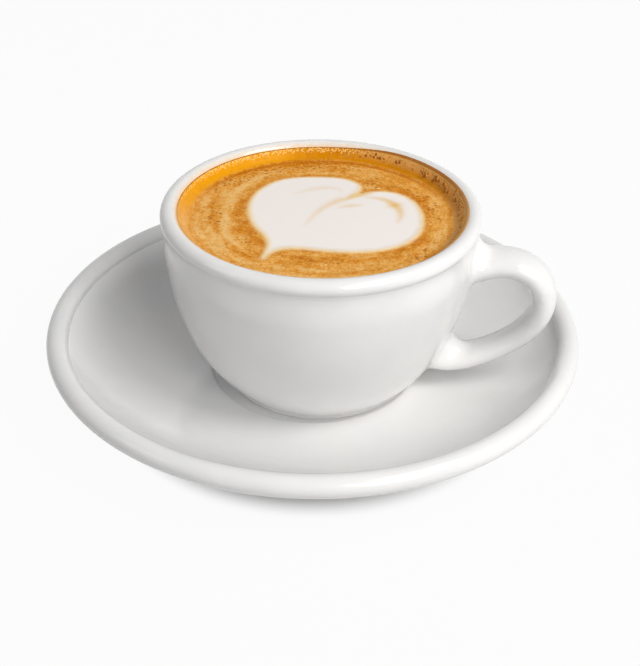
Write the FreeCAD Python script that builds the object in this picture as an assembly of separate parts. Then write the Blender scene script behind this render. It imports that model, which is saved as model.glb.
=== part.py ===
"""Cup of cappuccino on its saucer, in millimetres with +Z up.

The saucer stands on the table at Z = 0 with its centre on the Z axis.  The cup
stands a little off centre in the saucer's well, its handle toward +X, and
holds the coffee with a heart of milk foam set into the crema.

A curve is drawn in shares: (0, 0) is where it starts and (1, 1) where it ends,
so it follows when either end moves.
"""
import FreeCAD, Part
import math
import os

VEC = FreeCAD.Vector
UP = VEC(0, 0, 1)

# Cup, heights from its own foot ----------------------------------------------
CUP_HEIGHT = 55.8
LIP_RADIUS = 45.0          # widest reach of the rounded lip
LIP_ROLL = 2.5             # radius of the lip's rounding
WALL = 4.7                 # bowl's wall below the lip
FLOOR = 4.2                # bowl's floor over the recess under it
CUP_FOOT_RADIUS = 27.0
CUP_FOOT_WIDTH = 3.6
CUP_FOOT_HEIGHT = 2.1
CUP_RECESS = 1.4
CUP_OFFSET = (1.9, -1.6)   # where the cup stands in the well
BOWL_CURVE = (             # outside of the bowl, from the foot to the lip
    (0.1215, 0.0426), (0.3372, 0.1318), (0.5651, 0.2534), (0.7565, 0.4156),
    (0.8871, 0.5778), (0.9661, 0.7400), (0.9904, 0.8758), (0.9843, 0.9711),
)
FLOOR_CURVE = ((0.30, 0.65), (0.62, 0.95))   # from the inside wall to the middle

# Saucer ---------------------------------------------------------------------
SAUCER_RADIUS = 78.2
RIM_ROLL = 3.15            # radius of the rolled rim
DISH_SLOPE = 0.318         # rise of the rim for each mm out from the well's edge
SAUCER_FLOOR = 4.1         # thickness under the well
WELL_CLEARANCE = 0.7       # between the cup's foot and the edge it stands nearest to
WELL_STEP = 1.0            # depth of the well that keeps the cup in place
FOOT_RADIUS = 44.6         # ring the saucer stands on
FOOT_WIDTH = 4.2
FOOT_HEIGHT = 2.7
FOOT_RECESS = 1.9
DISH_CURVE = (             # top, from the well's edge to the rim
    (0.1200, 0.0147), (0.3159, 0.0737), (0.5364, 0.2138), (0.7323, 0.4424), (0.8939, 0.7300),
)
UNDER_CURVE = ((0.2507, 0.1449), (0.5218, 0.3887), (0.7760, 0.6917))   # from the foot to the rim

# Handle, in its own upright plane ---------------------------------------------
HANDLE_TURN = -10.0        # degrees from +X
HANDLE_LINE = (            # clear of the bowl, share of the height, half width, half thickness
    (-6.82, 0.7025, 7.8, 5.4),
    (-0.14, 0.7366, 7.1, 4.6),
    (6.47, 0.7634, 6.5, 3.9),
    (12.29, 0.7599, 6.3, 3.7),
    (17.05, 0.7115, 6.2, 3.7),
    (20.27, 0.6326, 6.0, 3.7),
    (21.56, 0.5412, 5.9, 3.6),
    (21.36, 0.4480, 5.8, 3.5),
    (19.23, 0.3548, 5.6, 3.3),
    (15.28, 0.2706, 5.5, 3.1),
    (10.59, 0.2025, 5.7, 3.2),
    (3.99, 0.1738, 6.3, 3.6),
    (-7.5, 0.1700, 6.8, 3.5),
)
ROOT_BLEND = 4.5           # fillet where the handle grows out of the bowl

# Drink ------------------------------------------------------------------------
DRINK_GAP = 0.3            # clearance between the drink and the cup
FILL_DEPTH = 4.5           # flat surface below the top of the lip
CREMA_BAND = 9.0           # flat surface's edge in from the widest reach of the lip
CREMA_CLIMB = 132.0        # degrees round the lip that the crema reaches
CREMA_EDGE = 0.3           # thickness of the film at its top
CREMA_CURVE = ((0.3615, 0.0813), (0.6553, 0.3485), (0.8586, 0.6971))   # up the wall
FOAM_DEPTH = 1.5
FOAM_GAP = 0.3
HEART_LEFT = (             # shares of the flat surface's radius, from the cleft to the tail
    (0.250, 0.344), (0.311, 0.461), (0.317, 0.550), (0.264, 0.628), (0.181, 0.678),
    (0.056, 0.703), (-0.111, 0.700), (-0.278, 0.667), (-0.425, 0.561), (-0.522, 0.400),
    (-0.569, 0.206), (-0.558, 0.000), (-0.503, -0.183), (-0.428, -0.322),
    (-0.397, -0.444), (-0.406, -0.561), (-0.425, -0.678),
)
HEART_RIGHT = (            # and from the tail round the right lobe back to the cleft
    (-0.425, -0.678), (-0.367, -0.589), (-0.289, -0.533), (-0.183, -0.517),
    (-0.028, -0.539), (0.208, -0.564), (0.408, -0.542), (0.567, -0.475),
    (0.689, -0.364), (0.769, -0.206), (0.794, -0.011), (0.775, 0.172), (0.711, 0.325),
    (0.617, 0.417), (0.500, 0.453), (0.378, 0.431), (0.250, 0.344),
)


def at(radius, height):
    """Point of a turned profile, drawn in the XZ plane."""
    return VEC(radius, 0, height)


def on_circle(centre, radius, angle):
    turn = math.radians(angle)
    return (centre[0] + radius * math.cos(turn), centre[1] + radius * math.sin(turn))


def line(start, end):
    return Part.makeLine(at(*start), at(*end))


def arc(centre, radius, start, middle, end):
    """Arc of a profile through three angles, in degrees."""
    return Part.Arc(*[at(*on_circle(centre, radius, angle)) for angle in (start, middle, end)]).toShape()


def smooth(points):
    """Smooth curve of a profile through (radius, height) pairs."""
    curve = Part.BSplineCurve()
    curve.interpolate([at(*point) for point in points])
    return curve.toShape()


def between(start, end, shares):
    """Points of a curve drawn in shares, with its two ends."""
    return [start] + [
        (start[0] + share * (end[0] - start[0]), start[1] + rise * (end[1] - start[1]))
        for share, rise in shares
    ] + [end]


def inset(points, distance, closed=False):
    """Points of a line moved square to it, to its right."""
    moved = []
    for index, (x, y) in enumerate(points):
        if closed:
            before, after = points[index - 1], points[(index + 1) % len(points)]
        else:
            before, after = points[max(index - 1, 0)], points[min(index + 1, len(points) - 1)]
        run, rise = after[0] - before[0], after[1] - before[1]
        length = math.hypot(run, rise)
        moved.append((x + distance * rise / length, y - distance * run / length))
    return moved


def turned(edges):
    """Solid of revolution about the Z axis, its seam on the side away from the handle."""
    face = Part.Face(Part.Wire(Part.sortEdges(edges)[0]))
    face.rotate(VEC(0, 0, 0), UP, 180)
    solid = Part.Solid(face.revolve(VEC(0, 0, 0), UP, 360))
    return solid if solid.Volume > 0 else solid.reversed()


def well_floor():
    """Height of the saucer's well, which the cup stands on."""
    return FOOT_RECESS + SAUCER_FLOOR


def well_radius():
    """Radius of the well, which clears the cup's foot on the side that it has slid to."""
    return CUP_FOOT_RADIUS + math.hypot(*CUP_OFFSET) + WELL_CLEARANCE


def foot_ring(radius, width, height, recess):
    """Corners of a turned foot, from the recess inside it to the top of its outer side."""
    inside = radius - width
    return [
        (0, recess), (inside - 1.4, recess), (inside, 0.5), (inside + 0.6, 0),
        (radius - 0.6, 0), (radius, 0.6), (radius + 0.5, height),
    ]


def through(corners):
    return [line(start, end) for start, end in zip(corners, corners[1:])]


def saucer():
    foot = foot_ring(FOOT_RADIUS, FOOT_WIDTH, FOOT_HEIGHT, FOOT_RECESS)
    edge = (well_radius() + 0.9, well_floor() + WELL_STEP)
    reach = SAUCER_RADIUS - RIM_ROLL
    roll = (reach, edge[1] + DISH_SLOPE * (reach - edge[0]))
    step = [
        edge, (edge[0] - 0.6, edge[1] - 0.2), (edge[0] - 1.1, well_floor()),
        (0, well_floor()), (0, FOOT_RECESS),
    ]
    return turned(through(foot) + through(step) + [
        smooth(between(foot[-1], on_circle(roll, RIM_ROLL, -98), UNDER_CURVE)),
        arc(roll, RIM_ROLL, -98, 45, 188),
        smooth(between(edge, on_circle(roll, RIM_ROLL, 188), DISH_CURVE)),
    ])


def lip_roll():
    """Centre of the lip's rounded section."""
    return (LIP_RADIUS - LIP_ROLL, CUP_HEIGHT - LIP_ROLL)


def bowl_outside():
    """Profile of the bowl from its foot to the outer edge of the lip."""
    foot_edge = (CUP_FOOT_RADIUS + 0.9, CUP_FOOT_HEIGHT + 0.2)
    return between(foot_edge, on_circle(lip_roll(), LIP_ROLL, -42), BOWL_CURVE)


def bowl_inside():
    """Profile of the hollow from the inner edge of the lip to the middle of the floor."""
    wall = inset(bowl_outside()[::-1], WALL)[2:-2]
    floor = between(wall[-1], (0, CUP_RECESS + FLOOR), FLOOR_CURVE)
    return [on_circle(lip_roll(), LIP_ROLL, 188)] + wall + floor[1:]


def bowl_base():
    """Edges of the bowl from the middle of its underside to the lip."""
    foot = foot_ring(CUP_FOOT_RADIUS, CUP_FOOT_WIDTH, CUP_FOOT_HEIGHT, CUP_RECESS)
    return through(foot + bowl_outside()[:1]) + [smooth(bowl_outside())]


def bowl():
    inside = bowl_inside()
    return turned(bowl_base() + [
        arc(lip_roll(), LIP_ROLL, -42, 75, 188),
        smooth(inside),
        line(inside[-1], (0, CUP_RECESS)),
    ])


def filled_bowl():
    """Bowl without its hollow, which trims the ends of the handle."""
    lip_edge = bowl_outside()[-1]
    return turned(bowl_base() + through([lip_edge, (0, lip_edge[1]), (0, CUP_RECESS)]))


def bowl_radius(height):
    """Radius of the outside of the bowl at a height."""
    profile = bowl_outside()
    for (low_radius, low), (high_radius, high) in zip(profile, profile[1:]):
        if low <= height <= high:
            return low_radius + (high_radius - low_radius) * (height - low) / (high - low)


def handle():
    """Strap lofted through ovals that flare into the bowl at both ends."""
    middles = []
    for clear, share, _, _ in HANDLE_LINE:
        height = share * CUP_HEIGHT
        middles.append(VEC(bowl_radius(height) + clear, 0, height))
    across = VEC(0, 1, 0)
    ovals = []
    for index, (_, _, half_width, half_thick) in enumerate(HANDLE_LINE):
        centre = middles[index]
        along = middles[min(index + 1, len(middles) - 1)] - middles[max(index - 1, 0)]
        thick = along.cross(across).normalize()
        oval = Part.Ellipse(centre + across * half_width, centre + thick * half_thick, centre)
        ovals.append(Part.Wire(oval.toShape()))
    strap = Part.makeLoft(ovals, True, False)
    strap.rotate(VEC(0, 0, 0), UP, HANDLE_TURN)
    return strap


def is_root(edge):
    """True for an edge where the strap meets the outside of the bowl."""
    box = edge.BoundBox
    return box.XMin > 0 and box.XMax < LIP_RADIUS + 3 and box.YLength > HANDLE_LINE[0][2]


def cup():
    """Bowl and handle as one piece, blended where they meet."""
    whole = bowl().fuse(handle().cut(filled_bowl()))
    blended = whole.makeFillet(ROOT_BLEND, [edge for edge in whole.Edges if is_root(edge)])
    return in_well(blended)


def in_well(shape):
    """Moves what was drawn from the cup's own foot to where the cup stands."""
    shape.translate(VEC(*CUP_OFFSET, well_floor()))
    return shape


def crema_radius():
    return LIP_RADIUS - CREMA_BAND


def drink():
    """Coffee that fills the bowl, its crema climbing the wall to the lip."""
    roll = lip_roll()
    side = LIP_ROLL + DRINK_GAP
    flat = (crema_radius(), CUP_HEIGHT - FILL_DEPTH)
    top = on_circle(roll, side + CREMA_EDGE, CREMA_CLIMB)
    wall = inset(bowl_inside(), DRINK_GAP)
    bottom = (0, wall[-1][1])
    return turned([
        arc(roll, side, CREMA_CLIMB, 160, 188),
        smooth([on_circle(roll, side, 188)] + wall[1:-1] + [bottom]),
        smooth(between(flat, top, CREMA_CURVE)),
        line(top, on_circle(roll, side, CREMA_CLIMB)),
    ] + through([bottom, (0, flat[1]), flat]))


def heart(gap):
    """Plate with the heart's outline up to the level of the drink, drawn in by the gap."""
    unit = crema_radius()
    round_it = [(unit * x, unit * y) for x, y in HEART_LEFT + HEART_RIGHT[1:-1]]
    points = inset(round_it, -gap, closed=True)
    tail = len(HEART_LEFT)
    sides = []
    for run in (points[:tail], points[tail - 1:] + points[:1]):
        side = Part.BSplineCurve()
        side.interpolate([VEC(x, y, 0) for x, y in run])
        sides.append(side.toShape())
    depth = FOAM_DEPTH - gap
    plate = Part.Face(Part.Wire(sides)).extrude(VEC(0, 0, depth))
    plate.translate(VEC(0, 0, CUP_HEIGHT - FILL_DEPTH - depth))
    return plate


def main():
    os.makedirs("parts", exist_ok=True)
    parts = {
        "saucer": saucer(),
        "cup": cup(),
        "coffee": in_well(drink().cut(heart(0))),
        "milk_heart": in_well(heart(FOAM_GAP)),
    }
    for name, shape in parts.items():
        shape.exportStep("parts/" + name + ".step")


main()
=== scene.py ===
"""Cup of cappuccino on its saucer: glaze, crema, milk-foam heart and studio.

The porcelain keeps its solid model and gets a glaze.  The drink is modelled
here as one smooth body with a fine surface, and the bubbles along its edge are
small domes.  Lengths are in metres unless a name says millimetres.
"""
import logging
import math
import random
from dataclasses import dataclass
from enum import Enum
from typing import Any, Dict, List, Optional, Sequence, Tuple, Union

import bpy
import numpy as np
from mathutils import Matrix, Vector


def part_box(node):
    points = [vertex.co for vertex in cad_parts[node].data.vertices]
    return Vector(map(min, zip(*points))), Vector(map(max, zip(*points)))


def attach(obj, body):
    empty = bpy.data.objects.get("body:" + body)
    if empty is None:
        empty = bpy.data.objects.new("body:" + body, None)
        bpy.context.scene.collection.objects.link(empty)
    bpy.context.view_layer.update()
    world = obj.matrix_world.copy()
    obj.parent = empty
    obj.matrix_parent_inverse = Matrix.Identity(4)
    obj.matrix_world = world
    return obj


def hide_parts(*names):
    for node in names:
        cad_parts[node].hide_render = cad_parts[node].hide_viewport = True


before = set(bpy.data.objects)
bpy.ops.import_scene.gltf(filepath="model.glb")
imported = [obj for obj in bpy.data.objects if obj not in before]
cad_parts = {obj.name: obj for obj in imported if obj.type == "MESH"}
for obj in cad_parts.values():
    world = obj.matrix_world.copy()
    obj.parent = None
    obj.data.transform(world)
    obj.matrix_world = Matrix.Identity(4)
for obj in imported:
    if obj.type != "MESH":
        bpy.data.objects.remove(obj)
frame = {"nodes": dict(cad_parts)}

LOG = logging.getLogger("cappuccino")
MM = 0.001
TINY = 1e-18               # keeps a run of no length from dividing by zero
Pair = Tuple[float, float]
Triple = Tuple[float, float, float]
Colour = Triple
Point2 = Pair


# ---- Shader tools ----

class Wire:
    """One output of a shader node, with arithmetic that adds Math nodes."""

    def __init__(self, recipe: "Recipe", socket: bpy.types.NodeSocket) -> None:
        """Keeps the recipe that the socket belongs to.

        Args:
            recipe: material or world that is being built.
            socket: output socket of one of its nodes.
        """
        self.recipe = recipe
        self.socket = socket

    def _math(self, operation: str, *values: "Number", clamp: bool = False) -> "Wire":
        """Adds one Math node.

        Args:
            operation: the node's operation.
            *values: its inputs in order.
            clamp: whether the result is kept between 0 and 1.

        Returns:
            The result.
        """
        settings = {"operation": operation, "use_clamp": clamp}
        return self.recipe.node("ShaderNodeMath", settings, dict(enumerate(values)))

    def __add__(self, other: "Number") -> "Wire":
        """Returns the sum."""
        return self._math("ADD", self, other)

    __radd__ = __add__

    def __sub__(self, other: "Number") -> "Wire":
        """Returns this less the other."""
        return self._math("SUBTRACT", self, other)

    def __rsub__(self, other: "Number") -> "Wire":
        """Returns the other less this."""
        return self._math("SUBTRACT", other, self)

    def __mul__(self, other: "Number") -> "Wire":
        """Returns the product."""
        return self._math("MULTIPLY", self, other)

    __rmul__ = __mul__

    def __truediv__(self, other: "Number") -> "Wire":
        """Returns this over the other."""
        return self._math("DIVIDE", self, other)

    def larger(self, other: "Number") -> "Wire":
        """Returns the larger of the two."""
        return self._math("MAXIMUM", self, other)

    def turn(self, across: "Number") -> "Wire":
        """Returns the angle whose sine side is this and cosine side the other."""
        return self._math("ARCTAN2", self, across)

    def clamped(self) -> "Wire":
        """Returns this kept between 0 and 1."""
        return self._math("ADD", self, 0.0, clamp=True)

    def step(self, low: float, high: float) -> "Wire":
        """Eases from 0 to 1 between two values; low may be the larger one.

        Args:
            low: where the result is 0.
            high: where the result is 1.

        Returns:
            The eased value.
        """
        flip = low > high
        result = self.recipe.node(
            "ShaderNodeMapRange", {"interpolation_type": "SMOOTHSTEP"},
            {"Value": self, "From Min": min(low, high), "From Max": max(low, high)})
        return 1.0 - result if flip else result


Number = Union[Wire, float]
Input = Union[Wire, float, Sequence[float]]


class CellPart(Enum):
    """What is read from Voronoi cells."""

    GAP = "Distance"
    CHANCE = "Color"


class Recipe:
    """Builds one node tree for a material or the world."""

    def __init__(self, tree: bpy.types.NodeTree) -> None:
        """Empties the tree.

        Args:
            tree: node tree to fill.
        """
        self.tree = tree
        tree.nodes.clear()

    def node(self, kind: str, settings: Optional[Dict[str, Any]] = None,
             inputs: Optional[Dict[Union[str, int], Input]] = None,
             output: Union[str, int] = 0) -> Wire:
        """Adds any node.

        Args:
            kind: the node's type.
            settings: its own properties, set before its sockets.
            inputs: value or wire of each socket, by name or place.
            output: the output to return, by name or place.

        Returns:
            The chosen output.
        """
        made = self.tree.nodes.new(kind)
        for name, value in (settings or {}).items():
            setattr(made, name, value)
        for key, value in (inputs or {}).items():
            if isinstance(value, Wire):
                self.tree.links.new(value.socket, made.inputs[key])
            else:
                made.inputs[key].default_value = value
        return Wire(self, made.outputs[output])

    def end(self, kind: str, shader: Wire) -> None:
        """Adds the output node of a kind and connects the finished shader."""
        self.tree.links.new(shader.socket, self.tree.nodes.new(kind).inputs["Surface"])

    def place(self, centre: Vector) -> Wire:
        """Returns Object coordinates in millimetres from a point given in metres."""
        spot = self.node("ShaderNodeTexCoord", output="Object")
        return self.node("ShaderNodeMapping", {"vector_type": "TEXTURE"},
                         {"Vector": spot, "Location": tuple(centre), "Scale": (MM, MM, MM)})

    def split(self, vector: Wire) -> Tuple[Wire, Wire, Wire]:
        """Takes a vector apart.

        Args:
            vector: the vector.

        Returns:
            Its three parts.
        """
        first = self.node("ShaderNodeSeparateXYZ", inputs={0: vector})
        node = first.socket.node
        return tuple(Wire(self, node.outputs[index]) for index in range(3))

    def join(self, x: Number, y: Number, z: Number) -> Wire:
        """Returns a vector of three parts."""
        return self.node("ShaderNodeCombineXYZ", inputs={0: x, 1: y, 2: z})

    def length(self, vector: Wire) -> Wire:
        """Returns how long a vector is."""
        return self.node("ShaderNodeVectorMath", {"operation": "LENGTH"}, {0: vector},
                         output="Value")

    def noise(self, vector: Wire, scale: float, detail: float = 2.0,
              roughness: float = 0.5, warp: float = 0.0) -> Wire:
        """Adds cloudy noise about 0.5.

        Args:
            vector: where it is read.
            scale: patches for each unit.
            detail: octaves.
            roughness: how strong the fine octaves are.
            warp: how far the pattern is pushed about by itself.

        Returns:
            The noise.
        """
        return self.node("ShaderNodeTexNoise", inputs={
            "Vector": vector, "Scale": scale, "Detail": detail,
            "Roughness": roughness, "Distortion": warp})

    def cells(self, vector: Wire, scale: float, shown: CellPart = CellPart.GAP) -> Wire:
        """Adds flat Voronoi cells.

        Args:
            vector: where they are read; its third part is left out.
            scale: cells for each unit.
            shown: which of their values is wanted.

        Returns:
            That value.
        """
        cell = self.node("ShaderNodeTexVoronoi", {"voronoi_dimensions": "2D"},
                         {"Vector": vector, "Scale": scale}, output=shown.value)
        if shown is CellPart.GAP:
            return cell
        return self.node("ShaderNodeSeparateColor", inputs={0: cell})

    def attribute(self, name: str) -> Wire:
        """Returns a number stored on the mesh's points under a name."""
        return self.node("ShaderNodeAttribute", {"attribute_name": name}, output="Fac")

    def mix(self, share: Number, first: Input, second: Input) -> Wire:
        """Blends two colours.

        Args:
            share: 0 for the first, 1 for the second.
            first: colour.
            second: colour.

        Returns:
            The blend.
        """
        return self.node("ShaderNodeMix", {"data_type": "RGBA"}, {
            0: share, 6: _opaque(first), 7: _opaque(second)}, output=2)

    def bump(self, height: Wire, depth: float, under: Optional[Wire] = None) -> Wire:
        """Adds relief too fine for the mesh.

        Args:
            height: relief from 0 to 1.
            depth: metres from 0 to 1.
            under: normal of coarser relief below it.

        Returns:
            The normal.
        """
        inputs: Dict[Union[str, int], Input] = {"Height": height, "Distance": depth}
        if under is not None:
            inputs["Normal"] = under
        return self.node("ShaderNodeBump", inputs=inputs)


def _opaque(colour: Input) -> Input:
    """Returns a colour with full opacity, or a wire as it is."""
    return colour if isinstance(colour, Wire) else (*colour, 1.0)


def facing(toward: Tuple[Wire, Wire], side: Point2) -> Wire:
    """Returns how squarely a direction from the axis faces a side."""
    return toward[0] * side[0] + toward[1] * side[1]


def new_material(name: str) -> Tuple[bpy.types.Material, Recipe]:
    """Starts a material.

    Args:
        name: what the finish is called.

    Returns:
        The material and the recipe for its nodes.
    """
    material = bpy.data.materials.new(name)
    material.use_nodes = True
    return material, Recipe(material.node_tree)


def finish_material(recipe: Recipe, constants: Dict[str, Input],
                    patterns: Dict[str, Wire]) -> None:
    """Adds the Principled shader, from even values and patterns, and the output."""
    recipe.end("ShaderNodeOutputMaterial",
               recipe.node("ShaderNodeBsdfPrincipled", inputs={**constants, **patterns}))


# ---- Finishes ----

@dataclass(frozen=True)
class Glaze:
    """White glazed porcelain, bare where the piece stood in the kiln."""

    name: str
    foot: Pair           # inner and outer radius of the bare ring
    white: Colour = (0.815, 0.81, 0.80)
    cool: Colour = (0.79, 0.79, 0.795)
    bisque: Colour = (0.70, 0.66, 0.60)
    fleck: float = 0.86                 # darkest grain of the bisque, as a share of it
    roughness: float = 0.10
    bisque_roughness: float = 0.78
    wave_depth: float = 0.00018         # relief, in metres
    peel_depth: float = 0.000012
    grain_depth: float = 0.00006
    # warm tint on the inner wall just above the crema: partly a thin crema film, partly painted
    # light, the orange glow the coffee bounces onto the wall
    film_and_bounce_tint: Colour = (0.800, 0.560, 0.300)
    film_and_bounce_share: float = 0.7
    film_and_bounce_height: Optional[float] = None
    film_and_bounce_edge: Pair = (41.0, 42.4)
    film_and_bounce_reach: float = 1.5

    def material(self, centre: Vector) -> bpy.types.Material:
        """Builds the finish.

        Args:
            centre: middle of the foot that stays bare.

        Returns:
            The material.
        """
        material, recipe = new_material(self.name)
        place = recipe.place(centre)
        x, y, z = recipe.split(place)
        radius = recipe.length(recipe.join(x, y, 0.0))
        inner, outer = self.foot
        bare = (z.step(0.25, -0.05) * radius.step(inner - 0.8, inner + 0.2)
                * radius.step(outer + 0.6, outer - 0.2))
        drift = recipe.noise(place, 0.045, 3.0)
        grain = recipe.noise(place, 4.5, 2.0)
        glazed = recipe.mix(drift.step(0.35, 0.65), self.cool, self.white)
        clay = recipe.mix(grain.step(0.3, 0.7), self.bisque,
                          tuple(self.fleck * part for part in self.bisque))
        # partly a crema film and partly painted orange bounce light from the coffee, on the inner
        # wall just above the crema
        if self.film_and_bounce_height is not None:
            over = z + (recipe.noise(place, 0.6, 3.0) - 0.5) * 1.2 - self.film_and_bounce_height
            film_and_bounce = (over.step(self.film_and_bounce_reach, 0.0) * over.step(-3.0, -1.5)
                    * radius.step(self.film_and_bounce_edge[1], self.film_and_bounce_edge[0]))
            glazed = recipe.mix(film_and_bounce * self.film_and_bounce_share, glazed, self.film_and_bounce_tint)
        waves = recipe.bump(recipe.noise(place, 0.11, 2.0), self.wave_depth)
        peel = recipe.bump(recipe.noise(place, 0.9, 1.0), self.peel_depth, waves)
        relief = recipe.bump(grain * bare, self.grain_depth, peel)
        finish_material(
            recipe,
            {"IOR": 1.52, "Specular IOR Level": 0.5},
            {"Base Color": recipe.mix(bare, glazed, clay),
             "Roughness": ((self.roughness + 0.05 * drift) * (1.0 - bare)
                           + self.bisque_roughness * bare),
             "Normal": relief})
        return material


@dataclass(frozen=True)
class CremaFinish:
    """Golden-brown crema with pale swirls, brown pores and the white foam heart."""

    name: str = "crema_and_foam"
    dark: Colour = (0.600, 0.185, 0.002)
    tan: Colour = (0.785, 0.350, 0.048)
    pale: Colour = (0.900, 0.560, 0.200)
    pore: Colour = (0.430, 0.130, 0.006)
    deep: Colour = (0.520, 0.150, 0.001)
    gold: Colour = (0.620, 0.235, 0.001)
    yellow: Colour = (0.800, 0.350, 0.004)
    bright: Colour = (0.960, 0.640, 0.220)
    wet: Colour = (0.300, 0.085, 0.006)
    foam: Colour = (0.955, 0.905, 0.875)
    cream: Colour = (0.920, 0.690, 0.350)
    caramel: Colour = (0.850, 0.530, 0.130)
    brushed: Point2 = (0.64, 0.77)                  # direction of the fine strokes
    left: Point2 = (-0.766, 0.643)                  # sides of the wall that differ
    # right: side of the band that is painted paler, painted light on a wall that lies in shade
    right: Point2 = (0.97, 0.24)
    back_left: Point2 = (-0.5, 0.87)
    back_right: Point2 = (0.82, 0.57)
    wall_radius: float = 39.3
    wall_foot: Tuple[float, float, float, float] = (35.4, 36.3, 36.7, 37.9)
    pore_cells: Tuple[Triple, ...] = ((0.50, 0.14, 0.34), (0.90, 0.14, 0.36))
    hole_cells: Tuple[Pair, ...] = ((0.62, 0.45), (1.15, 0.60))
    swell_depth: float = 0.0005                     # relief, in metres
    grain_depth: float = 0.00010
    pore_depth: float = 0.00004

    def material(self, centre: Vector) -> bpy.types.Material:
        """Builds the finish.

        Args:
            centre: middle of the flat surface.

        Returns:
            The material.
        """
        material, recipe = new_material(self.name)
        place = recipe.place(centre)
        x, y, z = recipe.split(place)
        flat = recipe.join(x, y, 0.0)
        radius = recipe.length(flat)
        toward = (x / radius, y / radius)
        heart = recipe.attribute("heart")
        along, across = self.brushed
        strokes = recipe.join((x * along + y * across) * 0.55, (y * along - x * across) * 1.1, z)
        fine = recipe.noise(strokes, 2.0, 3.0, 0.65)
        mottle = recipe.noise(flat, 0.5, 4.0, 0.6, 0.4)
        pores = self._pores(recipe, x, y)

        crema = self._crema(recipe, toward, radius, heart, fine, mottle)
        crema = recipe.mix(pores * 0.8, crema, self.pore)
        climb = recipe.attribute("climb")
        band = (climb + (mottle - 0.5) * 0.25).step(0.06, 0.30)
        wall = self._wall(recipe, place, toward, climb, fine, mottle)
        crema = recipe.mix(band, crema, wall)
        ragged = radius + (mottle - 0.5) * 2.4 + (fine - 0.5) * 2.0
        start, full, fade, gone = self.wall_foot
        foot = ragged.step(start, full) * ragged.step(gone, fade) * toward[1].step(0.15, 0.75)
        crema = recipe.mix(foot * 0.8, crema, self.deep)

        ripple = heart + (fine - 0.5) * 0.5
        milk = ripple.step(-0.8, 1.5)
        streak = recipe.attribute("streak").clamped() * (0.95 + 0.4 * (fine - 0.5))
        foam = recipe.mix(streak.clamped(), self.foam, self.caramel)
        colour = recipe.mix(ripple.step(-1.7, 0.1), crema, self.cream)
        colour = recipe.mix(milk, colour, foam)

        rough = 1.0 - milk * 0.9
        relief = recipe.bump(recipe.noise(flat, 0.22, 2.0) * rough, self.swell_depth)
        relief = recipe.bump(fine * rough, self.grain_depth, relief)
        relief = recipe.bump(1.0 - pores, self.pore_depth, relief)
        finish_material(
            recipe,
            {"IOR": 1.36, "Specular IOR Level": 0.08},
            {"Base Color": colour,
             "Roughness": 0.42 + 0.14 * milk - 0.18 * band + (fine - 0.5) * 0.1,
             "Normal": relief})
        return material

    def _crema(self, recipe: Recipe, toward: Tuple[Wire, Wire], radius: Wire, heart: Wire,
               fine: Wire, mottle: Wire) -> Wire:
        """Colours the flat crema from dark through tan to pale.

        Args:
            recipe: where the nodes go.
            toward: direction from the axis.
            radius: millimetres from the axis.
            heart: millimetres inside the heart's outline.
            fine: fine brushed noise.
            mottle: coarser noise.

        Returns:
            The colour.
        """
        ringwise = recipe.join(toward[0] * 3.0, toward[1] * 3.0, radius * 0.30)
        bands = recipe.noise(ringwise, 1.3, 4.0, 0.62, 0.5)
        swirl = recipe.attribute("swirl").clamped()
        shade = recipe.attribute("shade").clamped()
        halo = heart.step(-3.4, -0.9)
        tone = (0.53 + (fine - 0.5) * 2.0 + (mottle - 0.5) * 1.3 + (bands - 0.5) * 1.6
                + swirl * 0.50 - shade * 0.42 - halo * 0.24)
        colour = recipe.mix((tone * 2.0).clamped(), self.dark, self.tan)
        return recipe.mix((tone * 2.0 - 1.0).clamped(), colour, self.pale)

    def _pores(self, recipe: Recipe, x: Wire, y: Wire) -> Wire:
        """Scatters brown pores of two sizes where the mesh asks for them.

        Args:
            recipe: where the nodes go.
            x: millimetres from the axis.
            y: millimetres from the axis.

        Returns:
            1 in a pore, 0 elsewhere.
        """
        wanted = recipe.attribute("pores").clamped()
        sizes: List[Wire] = []
        for scale, inner, outer in self.pore_cells:
            spot = recipe.join(x * 0.85 + scale * 40.0, y * 1.15, 0.0)
            hole = recipe.cells(spot, scale).step(outer, inner)
            chance = recipe.cells(spot, scale, CellPart.CHANCE)
            sizes.append(hole * (chance + wanted * 0.55).step(0.98, 1.08)
                         * wanted.step(0.05, 0.3))
        return sizes[0].larger(sizes[1])

    def _wall(self, recipe: Recipe, place: Wire, toward: Tuple[Wire, Wire], climb: Wire,
              fine: Wire, mottle: Wire) -> Wire:
        """Colours the band that climbs the wall, with froth on top, a thin wet line, and painted
        light that makes its shaded right side paler.

        Args:
            recipe: where the nodes go.
            place: millimetres from the middle of the flat surface.
            toward: direction from the axis.
            climb: 0 on the flat surface, 1 at the top of the band.
            fine: fine brushed noise.
            mottle: coarser noise.

        Returns:
            The colour.
        """
        back = toward[1].step(-0.25, 0.55)
        left = facing(toward, self.left).step(0.68, 0.90)
        # painted light: the right side of the band faces away from the lamps and is made paler
        right = facing(toward, self.right).step(0.35, 0.80)
        wall = recipe.mix(back, recipe.mix(0.6, self.tan, self.pale), self.gold)
        wall = recipe.mix(left * 0.85, wall, self.yellow)
        rough = ((mottle - 0.45) * 3.0 + (fine - 0.5) * 3.0).clamped()
        wall = recipe.mix(rough * (0.55 - left * 0.30), wall, self.deep)
        x, y, z = recipe.split(place)
        around = recipe.join(y.turn(x) * self.wall_radius, z * 1.15, 0.0)
        froth = recipe.cells(around, 1.3).step(0.50, 0.12) * climb.step(0.50, 0.64)
        frothy = facing(toward, self.back_left).step(0.25, 0.9)
        wall = recipe.mix(froth * frothy * 0.9, wall, self.bright)
        # painted light: the shaded right wall is painted paler
        wall = recipe.mix(right * climb.step(0.30, 0.60) * 0.5, wall, self.pale)
        wall = self._holes(recipe, around, toward, climb, wall)
        line = climb.step(0.74, 0.82)
        return recipe.mix(line * (0.42 + 0.38 * back), wall, self.wet)

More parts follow.
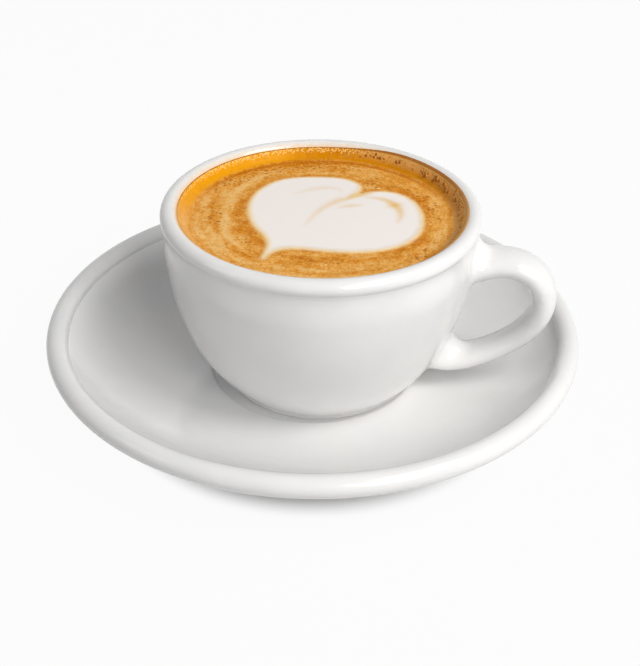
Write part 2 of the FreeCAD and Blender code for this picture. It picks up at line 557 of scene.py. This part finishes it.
    def _holes(self, recipe: Recipe, around: Wire, toward: Tuple[Wire, Wire], climb: Wire,
               wall: Wire) -> Wire:
        """Adds flat dark bubbles with pale rims to the band at the back right.

        Args:
            recipe: where the nodes go.
            around: millimetres round the wall and up it.
            toward: direction from the axis.
            climb: 0 on the flat surface, 1 at the top of the band.
            wall: colour of the band.

        Returns:
            The colour with the bubbles.
        """
        zone = (facing(toward, self.back_right).step(0.50, 0.80)
                * climb.step(0.30, 0.42) * climb.step(0.76, 0.66))
        for scale, chance in self.hole_cells:
            gap = recipe.cells(around, scale)
            drawn = recipe.cells(around, scale, CellPart.CHANCE)
            chosen = drawn.step(chance, chance + 0.05) * zone
            wall = recipe.mix(gap.step(0.46, 0.36) * chosen * 0.20, wall, self.bright)
            wall = recipe.mix(gap.step(0.33, 0.22) * chosen * 0.75, wall, self.pore)
        return wall


@dataclass(frozen=True)
class BubbleFinish:
    """Thin brown bubble skin, darkest in the middle of each bubble, with a painted reflection that
    makes it lighter toward the rim.
    """

    name: str = "crema_bubbles"
    middle: Colour = (0.310, 0.105, 0.012)
    # colour toward each bubble's rim: a painted reflection on the skin
    edge: Colour = (0.700, 0.340, 0.050)
    froth: Colour = (0.940, 0.600, 0.180)

    def material(self) -> bpy.types.Material:
        """Builds the finish.

        Returns:
            The material.
        """
        material, recipe = new_material(self.name)
        painted_rim_sheen = recipe.attribute("painted_rim_sheen")
        place = recipe.place(Vector())
        blotch = recipe.noise(place, 1.2, 2.0)
        # painted reflection: the skin is lighter toward each bubble's rim
        colour = recipe.mix((painted_rim_sheen * 1.1 + (blotch - 0.5) * 0.7).clamped(), self.middle, self.edge)
        colour = recipe.mix(recipe.attribute("froth"), colour, self.froth)
        finish_material(recipe, {"IOR": 1.36, "Specular IOR Level": 0.2},
                        {"Base Color": colour, "Roughness": 0.25 + 0.1 * blotch})
        return material


# ---- Modelling tools ----

def deselect_all() -> None:
    """Leaves nothing selected and no object active."""
    for thing in bpy.context.selected_objects:
        thing.select_set(False)
    bpy.context.view_layer.objects.active = None


def activate(thing: bpy.types.Object) -> None:
    """Selects one object alone and makes it active.

    Args:
        thing: the object.
    """
    deselect_all()
    thing.select_set(True)
    bpy.context.view_layer.objects.active = thing


def settle(thing: bpy.types.Object) -> None:
    """Moves an object's place, turn and size into its mesh."""
    activate(thing)
    bpy.ops.object.transform_apply(location=True, rotation=True, scale=True)


def ease(share: np.ndarray) -> np.ndarray:
    """Returns a share kept between 0 and 1 and eased at both ends."""
    share = np.clip(share, 0.0, 1.0)
    return share * share * (3.0 - 2.0 * share)


def put_number(mesh: bpy.types.Mesh, name: str, values: np.ndarray) -> None:
    """Stores one number for each point of a mesh, as a named attribute."""
    made = mesh.attributes.new(name, "FLOAT", "POINT")
    made.data.foreach_set("value", values.astype(np.float32))


def points_of(mesh: bpy.types.Mesh) -> np.ndarray:
    """Reads the places of a mesh's points.

    Args:
        mesh: the mesh.

    Returns:
        The places, one row each.
    """
    flat = np.empty(len(mesh.vertices) * 3, np.float32)
    mesh.vertices.foreach_get("co", flat)
    return flat.reshape(-1, 3).astype(float)


def distance_to_line(points: np.ndarray, line: np.ndarray) -> Tuple[np.ndarray, np.ndarray]:
    """Finds how far points lie from a line of straight runs.

    Args:
        points: places, two columns.
        line: corners of the line, two columns.

    Returns:
        The distance of each point, and how far along the line it is nearest, from 0 to 1.
    """
    best = np.full(len(points), np.inf)
    along = np.zeros(len(points))
    runs = len(line) - 1
    for index in range(runs):
        start, run = line[index], line[index + 1] - line[index]
        share = np.clip(((points - start) @ run) / max(run @ run, TINY), 0.0, 1.0)
        gap = np.linalg.norm(points - start - share[:, None] * run, axis=1)
        nearer = gap < best
        best[nearer] = gap[nearer]
        along[nearer] = (index + share[nearer]) / runs
    return best, along


@dataclass(frozen=True)
class Stroke:
    """One soft mark along a line in the foam or crema, in millimetres.

    It fades in over start and out over end, both shares of its length above 0.
    """

    line: Tuple[Point2, ...]
    width: float
    strength: float
    start: float = 0.5
    end: float = 0.5

    def mask(self, points: np.ndarray) -> np.ndarray:
        """Works out how strong the mark is.

        Args:
            points: places in millimetres, two columns.

        Returns:
            Strength at each place, fading across the width and toward both ends.
        """
        gap, along = distance_to_line(points, smooth_line(self.line))
        taper = (np.clip(along / self.start, 0.0, 1.0)
                 * np.clip((1.0 - along) / self.end, 0.0, 1.0))
        across = np.exp(-(gap / (self.width * (0.35 + 0.65 * taper))) ** 2)
        return self.strength * across * np.sqrt(taper)


def smooth_line(corners: Sequence[Point2], steps: int = 8) -> np.ndarray:
    """Rounds a line through its corners (Catmull-Rom).

    Args:
        corners: places the line passes.
        steps: runs between two corners.

    Returns:
        Places along the smooth line, two columns.
    """
    spots = [np.array(corner, float) for corner in corners]
    spots = [2 * spots[0] - spots[1]] + spots + [2 * spots[-1] - spots[-2]]
    made: List[np.ndarray] = []
    for before, start, end, after in zip(spots, spots[1:], spots[2:], spots[3:]):
        for step in range(steps):
            t = step / steps
            made.append(0.5 * ((2 * start) + (end - before) * t
                               + (2 * before - 5 * start + 4 * end - after) * t ** 2
                               + (3 * start - before - 3 * end + after) * t ** 3))
    made.append(spots[-2])
    return np.array(made)


# ---- Pieces ----

@dataclass
class Porcelain:
    """Cup and saucer, whose solids stay as they are and get their glaze."""

    saucer_foot: Pair = (40.4, 44.6)
    cup_foot: Pair = (23.4, 27.0)
    cup_white: Colour = (0.825, 0.82, 0.81)
    film_and_bounce_rise: float = 3.2             # from the flat surface to the top of the crema

    def dress(self, nodes: Dict[str, bpy.types.Object], axis: Vector, level: float) -> None:
        """Assigns the glaze to both pieces.

        Args:
            nodes: the model's objects by name.
            axis: where the cup's axis meets the well.
            level: height of the drink's flat surface.
        """
        saucer = Glaze("saucer_glaze", self.saucer_foot)
        # the cup's warm tint above the crema is partly a crema film and partly painted bounce light
        # from the coffee
        cup = Glaze("cup_glaze", self.cup_foot, white=self.cup_white,
                    film_and_bounce_height=(level - axis.z) / MM + self.film_and_bounce_rise)
        assign(nodes["saucer"], saucer.material(Vector()))
        assign(nodes["cup"], cup.material(axis))
        LOG.info("cup and saucer glazed")


def assign(thing: bpy.types.Object, material: bpy.types.Material) -> None:
    """Gives an object one material all over.

    Args:
        thing: the object.
        material: the material.
    """
    if not thing.material_slots:
        thing.data.materials.append(material)
    for slot in thing.material_slots:
        slot.material = material


def higher_side(angle: np.ndarray) -> np.ndarray:
    """Says where round the cup the crema climbs highest.

    Args:
        angle: place round the cup, in radians from +X.

    Returns:
        1 where it climbs highest, 0 where it stays low.
    """
    middle, reach, fade = math.radians(12.0), 78.0, 40.0
    turn = np.degrees(np.abs((angle - middle + math.pi) % (2 * math.pi) - math.pi))
    return ease((reach - turn) / fade)


@dataclass
class Drink:
    """Coffee up to its crema, which climbs the wall and carries the foam heart."""

    axis: Vector
    level: float
    outline: np.ndarray
    segments: int = 288
    rings: int = 72
    flat_radius: float = 36.0 * MM
    ring_match: Pair = (0.02, 0.004)    # how near in radius and height a ring is found
    foam_rise: float = 0.25 * MM
    foam_edge: float = 1.2              # millimetres either side of the outline
    climb: Tuple[Point2, ...] = (
        (36.5, 0.02), (37.0, 0.08), (37.5, 0.20), (37.95, 0.40), (38.35, 0.66), (38.7, 0.98),
        (39.0, 1.32), (39.25, 1.68), (39.46, 2.03), (39.64, 2.36), (39.8, 2.66), (39.95, 2.90),
        (40.12, 3.08), (40.32, 3.20), (40.55, 3.24), (40.85, 3.12),
    )
    high_climb: Tuple[Point2, ...] = (
        (36.5, 0.02), (37.0, 0.08), (37.5, 0.20), (37.95, 0.42), (38.35, 0.72), (38.7, 1.08),
        (39.0, 1.48), (39.25, 1.90), (39.46, 2.33), (39.66, 2.75), (39.88, 3.15), (40.12, 3.52),
        (40.4, 3.83), (40.72, 4.05), (41.1, 4.20), (41.5, 4.15),
    )
    body: Tuple[Point2, ...] = (
        (40.7, 2.2), (40.2, 0.6), (39.7, -3.0), (39.1, -10.0), (37.6, -19.0), (34.4, -30.0),
        (28.5, -39.5), (20.0, -44.0), (9.0, -45.1),
    )
    streaks: Tuple[Stroke, ...] = (
        Stroke(((14.2, 16.6), (11.2, 14.2), (8.0, 11.6), (5.2, 9.4)), 1.7, 1.0, 0.05, 0.7),
        Stroke(((8.0, 11.8), (4.0, 8.9), (0.5, 5.0), (-2.5, -0.5), (-4.6, -6.9)), 1.5, 0.5, 0.1, 0.8),
        Stroke(((12.6, 7.1), (8.0, 6.6), (4.0, 4.6)), 1.2, 0.5, 0.5, 0.6),
        Stroke(((12.0, 12.2), (16.1, 11.7), (19.4, 9.8), (21.5, 6.7), (22.4, 3.1), (22.2, -0.6),
                (21.1, -4.0)), 1.6, 0.85, 0.5, 0.6),
        Stroke(((17.6, 10.8), (20.2, 8.6), (21.6, 6.0), (22.2, 3.0)), 2.0, 1.0),
        Stroke(((-8.0, 13.0), (-6.0, 14.9), (-2.0, 17.2), (2.6, 18.1), (5.4, 16.7), (5.8, 14.6)),
               1.2, 0.28),
    )
    swirls: Tuple[Stroke, ...] = (
        Stroke(((-14.0, 29.0), (-20.0, 23.0), (-24.8, 14.0), (-27.0, 4.0), (-26.4, -6.0),
                (-24.0, -14.0), (-20.2, -20.5)), 1.5, 0.75, 0.4, 0.3),
        Stroke(((-26.6, 8.0), (-27.2, 3.5), (-26.8, -1.0)), 2.6, 0.7),
        Stroke(((-31.4, 6.0), (-32.2, -3.0), (-30.2, -12.0), (-26.0, -20.0), (-19.0, -27.0),
                (-10.0, -31.4)), 1.6, 0.6),
        Stroke(((-34.6, 2.0), (-34.0, -8.0), (-30.5, -17.0), (-24.0, -25.0)), 1.4, 0.5),
        Stroke(((-19.5, -22.0), (-15.2, -26.4), (-9.0, -29.0), (0.0, -30.4), (10.0, -29.6),
                (19.0, -26.0)), 1.0, 0.55, 0.3, 0.6),
        Stroke(((-16.0, -30.0), (-6.0, -33.0), (5.0, -33.6), (16.0, -31.0), (25.0, -25.0)),
               1.0, 0.6, 0.4, 0.5),
        Stroke(((19.2, 33.0), (21.0, 30.4), (20.8, 27.4), (18.6, 24.2)), 0.8, 0.7),
        Stroke(((34.0, 2.0), (33.4, -6.0), (30.5, -14.0), (25.5, -21.0)), 1.3, 0.5),
        Stroke(((28.4, 17.0), (32.0, 11.0), (33.6, 4.0)), 1.0, 0.4),
    )
    shades: Tuple[Stroke, ...] = (
        Stroke(((-22.6, 14.0), (-23.6, 4.0), (-21.8, -6.0), (-18.2, -13.0), (-15.9, -18.0)),
               1.7, 0.9, 0.5, 0.1),
        Stroke(((-11.0, -22.6), (-4.0, -23.6), (5.0, -24.6), (13.0, -24.0), (21.0, -20.6)),
               1.8, 0.65, 0.15, 0.5),
        Stroke(((-29.4, 16.0), (-30.4, 6.0), (-29.4, -4.0), (-26.8, -12.0)), 1.4, 0.7),
        Stroke(((-30.0, 20.0), (-22.0, 29.0), (-12.0, 33.6), (0.0, 35.2), (12.0, 33.0)),
               1.9, 0.8),
        Stroke(((15.0, 20.0), (20.0, 19.4), (26.0, 15.0), (29.6, 8.6), (30.4, 2.0)),
               1.5, 0.75, 0.4, 0.5),
        Stroke(((31.0, -3.0), (28.8, -11.0), (24.6, -16.6), (19.0, -20.4)), 1.4, 0.7),
        Stroke(((-24.0, -17.0), (-20.0, -22.4), (-17.0, -25.4)), 1.2, 0.6),
    )
    pore_fields: Tuple[Stroke, ...] = (
        Stroke(((-32.0, 14.0), (-24.0, 25.0), (-12.0, 32.0), (2.0, 34.6), (14.0, 32.0)),
               3.6, 1.3, 0.2, 0.2),
        Stroke(((14.5, 27.0), (15.0, 21.0), (19.0, 18.6)), 2.4, 1.2, 0.2, 0.2),
        Stroke(((21.0, 21.0), (29.0, 12.6), (32.0, 3.0), (31.0, -6.0)), 3.0, 0.95, 0.3, 0.2),
        Stroke(((-31.0, 10.0), (-30.6, 0.0), (-27.0, -9.0)), 2.6, 0.8, 0.3, 0.3),
        Stroke(((-9.0, -23.6), (-2.0, -25.0), (8.0, -25.4)), 2.0, 1.0, 0.2, 0.3),
        Stroke(((32.0, -12.0), (27.0, -21.0), (20.0, -26.0)), 2.0, 0.55, 0.3, 0.3),
        Stroke(((-22.0, -10.0), (-19.0, -17.0)), 2.0, 0.6, 0.3, 0.3),
    )

    def build(self) -> bpy.types.Object:
        """Models the drink.

        Returns:
            The finished piece.
        """
        deselect_all()
        bpy.ops.mesh.primitive_circle_add(
            vertices=self.segments, radius=self.flat_radius, fill_type="NOTHING",
            location=(self.axis.x, self.axis.y, self.level))
        drink = bpy.context.active_object
        drink.name = "cappuccino"
        settle(drink)
        bpy.ops.object.mode_set(mode="EDIT")
        self._rings([(self.flat_radius * (1.0 - ring / self.rings), 0.0)
                     for ring in range(1, self.rings)])
        bpy.ops.mesh.merge(type="CENTER")
        self._select_edge(drink)
        self._rings([(radius * MM, height * MM) for radius, height in self.climb + self.body])
        bpy.ops.mesh.merge(type="CENTER")
        bpy.ops.mesh.select_all(action="SELECT")
        bpy.ops.mesh.normals_make_consistent(inside=False)
        bpy.ops.object.mode_set(mode="OBJECT")
        bpy.ops.object.shade_smooth()
        self._mark(drink)
        self._pull_up(drink)
        self._raise_foam(drink)
        middle = Vector((self.axis.x, self.axis.y, self.level))
        drink.data.materials.append(CremaFinish().material(middle))
        LOG.info("drink: %d faces", len(drink.data.polygons))
        return drink

    def _rings(self, profile: List[Point2]) -> None:
        """Extrudes the selected edge of the flat surface through a profile.

        Args:
            profile: radius and height over the flat surface of each new ring.
        """
        radius, height = self.flat_radius, 0.0
        for next_radius, next_height in profile:
            bpy.ops.mesh.extrude_edges_move(
                TRANSFORM_OT_translate={"value": (0.0, 0.0, next_height - height)})
            share = next_radius / radius
            bpy.ops.transform.resize(
                value=(share, share, 1.0),
                center_override=(self.axis.x, self.axis.y, self.level + next_height))
            radius, height = next_radius, next_height

    def _select_edge(self, drink: bpy.types.Object) -> None:
        """Selects the outer edge of the flat surface.

        Args:
            drink: the piece in edit mode.
        """
        bpy.ops.mesh.select_all(action="DESELECT")
        bpy.ops.object.mode_set(mode="OBJECT")
        places = points_of(drink.data)
        radius = np.hypot(places[:, 0] - self.axis.x, places[:, 1] - self.axis.y)
        for index in np.flatnonzero(radius > self.flat_radius * 0.9999):
            drink.data.vertices[index].select = True
        bpy.ops.object.mode_set(mode="EDIT")
        bpy.ops.mesh.select_mode(type="EDGE")
        bpy.ops.mesh.select_mode(type="VERT")

    def _mark(self, drink: bpy.types.Object) -> None:
        """Stores the heart, its streaks, and the crema's swirls, shades and pores on the mesh.

        Args:
            drink: the piece.
        """
        places = points_of(drink.data)
        spots = (places[:, :2] - (self.axis.x, self.axis.y)) / MM
        submerged = places[:, 2] < self.level - 0.5 * MM
        put_number(drink.data, "heart", self._inside(spots))
        for name, strokes in (("streak", self.streaks), ("swirl", self.swirls),
                              ("shade", self.shades), ("pores", self.pore_fields)):
            total = np.maximum.reduce([stroke.mask(spots) for stroke in strokes])
            total[submerged] = 0.0
            put_number(drink.data, name, total)

    def _pull_up(self, drink: bpy.types.Object) -> None:
        """Lets the crema climb further up the wall on the right, as high_climb says.

        Args:
            drink: the piece.
        """
        places = points_of(drink.data)
        middle = np.array((self.axis.x, self.axis.y))
        offset = places[:, :2] - middle
        radius = np.hypot(offset[:, 0], offset[:, 1]) / MM
        height = (places[:, 2] - self.level) / MM
        share = higher_side(np.arctan2(offset[:, 1], offset[:, 0]))
        climbed = np.zeros(len(places))
        both = zip(self.climb, self.high_climb)
        for index, ((low_r, low_h), (high_r, high_h)) in enumerate(both):
            ring = ((abs(radius - low_r) < self.ring_match[0])
                    & (abs(height - low_h) < self.ring_match[1]))
            climbed[ring] = (index + 1) / len(self.climb)
            growth = (low_r + (high_r - low_r) * share[ring]) / radius[ring]
            places[ring, :2] = middle + offset[ring] * growth[:, None]
            places[ring, 2] = self.level + (low_h + (high_h - low_h) * share[ring]) * MM
        drink.data.vertices.foreach_set("co", places.astype(np.float32).ravel())
        drink.data.update()
        put_number(drink.data, "climb", climbed)

    def _inside(self, places: np.ndarray) -> np.ndarray:
        """Measures how far inside the heart's outline each place is.

        Args:
            places: millimetres from the axis, two columns.

        Returns:
            Millimetres inside the outline, negative outside.
        """
        loop = np.vstack((self.outline, self.outline[:1]))
        gap, _ = distance_to_line(places, loop)
        inside = np.zeros(len(places), bool)
        x, y = places.T
        for (x0, y0), (x1, y1) in zip(loop, loop[1:]):
            crosses = (y0 > y) != (y1 > y)
            level = np.where(crosses, (y - y0) / (y1 - y0 if y1 != y0 else 1.0), 0.0)
            inside ^= crosses & (x < x0 + (x1 - x0) * level)
        return np.where(inside, gap, -gap)

    def _raise_foam(self, drink: bpy.types.Object) -> None:
        """Lifts the foam a little and makes the surface gently uneven.

        Args:
            drink: the piece.
        """
        inside = np.empty(len(drink.data.vertices), np.float32)
        drink.data.attributes["heart"].data.foreach_get("value", inside)
        group = drink.vertex_groups.new(name="foam")
        lift = ease((inside + self.foam_edge) / (2.0 * self.foam_edge))
        for index in np.flatnonzero(lift > 0.0):
            group.add([int(index)], float(lift[index]), "REPLACE")
        activate(drink)
        raised = drink.modifiers.new("foam", "DISPLACE")
        raised.direction = "Z"
        raised.vertex_group = "foam"
        raised.mid_level = 0.0
        raised.strength = self.foam_rise
        bpy.ops.object.modifier_apply(modifier=raised.name)


@dataclass
class Bubbles:
    """Bubbles left along the wall, largest at the back right."""

    axis: Vector
    level: float
    seed: int = 11
    chain: int = 48
    chain_start: float = 74.0           # degrees from +X, turning clockwise
    chain_turn: float = 108.0
    chain_size: Pair = (0.26, 0.62)
    chain_height: Pair = (2.0, 0.45)  # middle and spread
    froth: int = 150
    froth_turn: Pair = (75.0, 152.0)
    froth_height: Pair = (1.7, 3.0)
    froth_size: Pair = (0.1, 0.24)
    narrow: Pair = (0.85, 1.0)          # range of breadth to length
    flat: float = 0.55                  # height to length
    probe: float = 0.2                  # millimetres up the wall for its slope
    wall_rings: int = 14                # rings of the climb that bubbles sit on

    def build(self) -> bpy.types.Object:
        """Models the bubbles.

        Returns:
            All of them as one piece.
        """
        rng = random.Random(self.seed)
        dome = self._dome()
        copies = []
        for _ in range(self.chain):
            share = rng.random()
            angle = math.radians(self.chain_start - self.chain_turn * share)
            size = rng.uniform(*self.chain_size) * (1.15 - 0.9 * abs(share - 0.35))
            copies.append(self._copy(dome, angle, rng.gauss(*self.chain_height), size, rng))
        for _ in range(self.froth):
            angle = math.radians(rng.uniform(*self.froth_turn))
            height, size = rng.uniform(*self.froth_height), rng.uniform(*self.froth_size)
            copies.append(self._copy(dome, angle, height, size, rng))
            copies[-1].data.attributes["froth"].data.foreach_set(
                "value", np.ones(len(dome.data.vertices), np.float32))
        bpy.data.objects.remove(dome)
        deselect_all()
        for copy in copies:
            copy.select_set(True)
        bpy.context.view_layer.objects.active = copies[0]
        bpy.ops.object.join()
        bubbles = bpy.context.active_object
        bubbles.name = "crema_bubbles"
        bpy.ops.object.shade_smooth()
        bubbles.data.materials.append(BubbleFinish().material())
        LOG.info("bubbles: %d", len(copies))
        return bubbles

    def _dome(self) -> bpy.types.Object:
        """Models one bubble of radius 1, cut flat just under its middle.

        Returns:
            The dome, to be copied.
        """
        deselect_all()
        bpy.ops.mesh.primitive_uv_sphere_add(segments=10, ring_count=8, radius=1.0,
                                             location=(0.0, 0.0, 0.0))
        dome = bpy.context.active_object
        activate(dome)
        bpy.ops.object.mode_set(mode="EDIT")
        bpy.ops.mesh.select_all(action="SELECT")
        bpy.ops.mesh.bisect(plane_co=(0.0, 0.0, -0.2), plane_no=(0.0, 0.0, 1.0),
                            use_fill=True, clear_inner=True)
        bpy.ops.object.mode_set(mode="OBJECT")
        height = points_of(dome.data)[:, 2]
        # share of the painted rim reflection, rising from the top of the dome to its flat cut
        put_number(dome.data, "painted_rim_sheen", np.clip(1.0 - height, 0.0, 1.0) ** 1.5)
        put_number(dome.data, "froth", np.zeros(len(height)))
        return dome

    def _copy(self, dome: bpy.types.Object, angle: float, height: float, size: float,
              rng: random.Random) -> bpy.types.Object:
        """Places one bubble on the climbing crema.

        Args:
            dome: bubble of radius 1.
            angle: place round the cup, in radians from +X.
            height: millimetres over the flat surface.
            size: radius in millimetres.
            rng: source of small differences.

        Returns:
            The placed bubble.
        """
        copy = dome.copy()
        copy.data = dome.data.copy()
        bpy.context.collection.objects.link(copy)
        share = float(higher_side(np.array([angle]))[0])
        profile = (1.0 - share) * np.array(Drink.climb) + share * np.array(Drink.high_climb)
        radii, heights = profile[:self.wall_rings].T
        radius = float(np.interp(height, heights, radii))
        higher = float(np.interp(height + self.probe, heights, radii))
        slope = math.atan2(higher - radius, self.probe)
        out = Vector((math.cos(angle), math.sin(angle), 0.0))
        spot = Vector((self.axis.x, self.axis.y, self.level)) + out * radius * MM
        spot.z += height * MM
        normal = (-out * math.cos(slope) + Vector((0.0, 0.0, math.sin(slope)))).normalized()
        copy.location = spot
        copy.rotation_mode = "QUATERNION"
        copy.rotation_quaternion = normal.to_track_quat("Z", "X")
        copy.scale = Vector((1.0, rng.uniform(*self.narrow), self.flat)) * size * MM
        settle(copy)
        return copy


# ---- Studio ----

@dataclass(frozen=True)
class Lamp:
    """One soft square lamp that points at the cup."""

    name: str
    place: Triple
    size: float
    watts: float
    colour: Colour = (1.0, 0.988, 0.970)

    def build(self, target: Vector) -> None:
        """Adds the lamp.

        Args:
            target: what it points at.
        """
        data = bpy.data.lights.new(self.name, "AREA")
        data.shape = "SQUARE"
        data.size = self.size
        data.energy = self.watts
        data.color = self.colour
        lamp = bpy.data.objects.new(self.name, data)
        bpy.context.scene.collection.objects.link(lamp)
        lamp.location = self.place
        lamp.rotation_euler = (target - Vector(self.place)).to_track_quat("-Z", "Y").to_euler()


@dataclass
class Studio:
    """Pale floor, soft lamps, white surroundings and the camera."""

    lamps: Tuple[Lamp, ...] = (
        Lamp("right", (0.6124, -0.3535, 0.8777), 0.5, 7.4),
        Lamp("front_right", (0.4857, -0.8412, 0.5514), 0.5, 4.8),
        Lamp("left", (-0.9127, -0.3322, 0.5514), 0.5, 0.9),
    )
    target: Triple = (0.0, 0.0, 0.035)
    surroundings: float = 0.22
    floor_size: float = 8.0
    floor_white: float = 0.60
    floor_lift: float = 0.95
    # painted shadow round the object: the floor's white lift is gone within the first radius and full
    # beyond the second, in metres
    painted_shadow_full_to: float = 0.053
    painted_shadow_gone_at: float = 0.064
    camera_place: Triple = (0.0019, -0.30304, 0.21401)
    camera_turn: Triple = (57.011, -0.7355, 0.4407)
    lens: float = 65.02
    sensor: float = 36.0
    clip: Pair = (0.01, 50.0)
    paper_grain: float = 40.0
    paper_fleck: float = 1.01

    def build(self) -> None:
        """Sets up everything round the object."""
        self._floor()
        self._surroundings()
        for lamp in self.lamps:
            lamp.build(Vector(self.target))
        data = bpy.data.cameras.new("camera")
        data.lens = self.lens
        data.sensor_width = self.sensor
        data.clip_start, data.clip_end = self.clip
        camera = bpy.data.objects.new("camera", data)
        camera.location = self.camera_place
        camera.rotation_euler = [math.radians(turn) for turn in self.camera_turn]
        bpy.context.scene.collection.objects.link(camera)
        bpy.context.scene.camera = camera
        bpy.context.scene.view_settings.view_transform = "Standard"

    def _floor(self) -> None:
        """Adds the floor, white to the camera, with a painted shadow: its white lift fades out near
        the object, where the floor shows its own dim shading and the object's real shadow.
        """
        deselect_all()
        bpy.ops.mesh.primitive_plane_add(size=self.floor_size, location=(0.0, 0.0, 0.0))
        floor = bpy.context.active_object
        floor.name = "studio_floor"
        material, recipe = new_material("studio_floor")
        place = recipe.node("ShaderNodeTexCoord", output="Object")
        # painted shadow: the white lift fades out toward the object
        outside_painted_shadow = recipe.length(place).step(self.painted_shadow_full_to, self.painted_shadow_gone_at)
        paper = recipe.noise(place, self.paper_grain, 2.0)
        plain, fleck = self.floor_white, self.floor_white * self.paper_fleck
        matt = recipe.node("ShaderNodeBsdfDiffuse", inputs={
            "Color": recipe.mix(paper, (plain,) * 3, (fleck,) * 3)})
        glow = recipe.node("ShaderNodeEmission", inputs={
            "Color": (1.0, 1.0, 1.0, 1.0), "Strength": 1.0})
        both = recipe.node("ShaderNodeMixShader", inputs={
            0: self._seen(recipe) * outside_painted_shadow * self.floor_lift, 1: matt, 2: glow})
        recipe.end("ShaderNodeOutputMaterial", both)
        floor.data.materials.append(material)

    def _seen(self, recipe: Recipe) -> Wire:
        """Finds what the camera sees directly, in gloss or through glass.

        Args:
            recipe: where the nodes go.

        Returns:
            1 for that, 0 for light that falls on the object.
        """
        path = recipe.node("ShaderNodeLightPath").socket.node
        rays = [Wire(recipe, path.outputs[name])
                for name in ("Is Camera Ray", "Is Glossy Ray", "Is Transmission Ray")]
        return rays[0].larger(rays[1]).larger(rays[2])

    def _surroundings(self) -> None:
        """Makes the world white to the camera and a plain level of light to the object."""
        world = bpy.data.worlds.new("studio")
        bpy.context.scene.world = world
        world.use_nodes = True
        recipe = Recipe(world.node_tree)
        seen = self._seen(recipe)
        back = recipe.node("ShaderNodeBackground", inputs={
            "Color": (1.0, 1.0, 1.0, 1.0),
            "Strength": seen * (1.0 - self.surroundings) + self.surroundings})
        recipe.end("ShaderNodeOutputWorld", back)


def heart_outline(node: bpy.types.Object, axis: Vector) -> np.ndarray:
    """Reads the heart's outline from the solid foam plate.

    Args:
        node: the plate.
        axis: the cup's axis.

    Returns:
        Corners round the plate's top in millimetres from the axis, two columns.
    """
    deselect_all()
    copy = node.copy()
    copy.data = node.data.copy()
    bpy.context.collection.objects.link(copy)
    activate(copy)
    bpy.ops.object.mode_set(mode="EDIT")
    bpy.ops.mesh.select_all(action="SELECT")
    bpy.ops.mesh.remove_doubles(threshold=0.001 * MM)
    bpy.ops.object.mode_set(mode="OBJECT")
    places = points_of(copy.data)
    top = places[:, 2].max() - 0.01 * MM
    links: Dict[int, List[int]] = {}
    upper = {edge.key: 0 for edge in copy.data.edges
             if all(places[end, 2] > top for end in edge.vertices)}
    for face in copy.data.polygons:
        if all(places[corner, 2] > top for corner in face.vertices):
            for key in face.edge_keys:
                upper[key] += 1
    for (start, end), faces in upper.items():
        if faces == 1:
            links.setdefault(start, []).append(end)
            links.setdefault(end, []).append(start)
    bpy.data.objects.remove(copy)
    walk = [min(links)]
    while len(walk) < len(links):
        onward = [spot for spot in links[walk[-1]] if spot not in walk[-2:]]
        if onward[0] == walk[0]:
            break
        walk.append(onward[0])
    return (places[walk, :2] - (axis.x, axis.y)) / MM


def main() -> None:
    """Builds the pieces, dresses them and sets up the studio."""
    logging.basicConfig(level=logging.INFO, format="%(name)s: %(message)s")
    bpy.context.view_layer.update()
    coffee_low, coffee_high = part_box("coffee")
    axis = (coffee_low + coffee_high) / 2
    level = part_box("milk_heart")[1].z
    Porcelain().dress(frame["nodes"], Vector((axis.x, axis.y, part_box("cup")[0].z)), level)
    outline = heart_outline(frame["nodes"]["milk_heart"], axis)
    drink = Drink(axis, level, outline).build()
    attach(drink, "root")
    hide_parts("coffee", "milk_heart")
    bubbles = Bubbles(axis, level).build()
    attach(bubbles, "root")
    Studio().build()
    LOG.info("done")


if __name__ == "__main__":
    main()
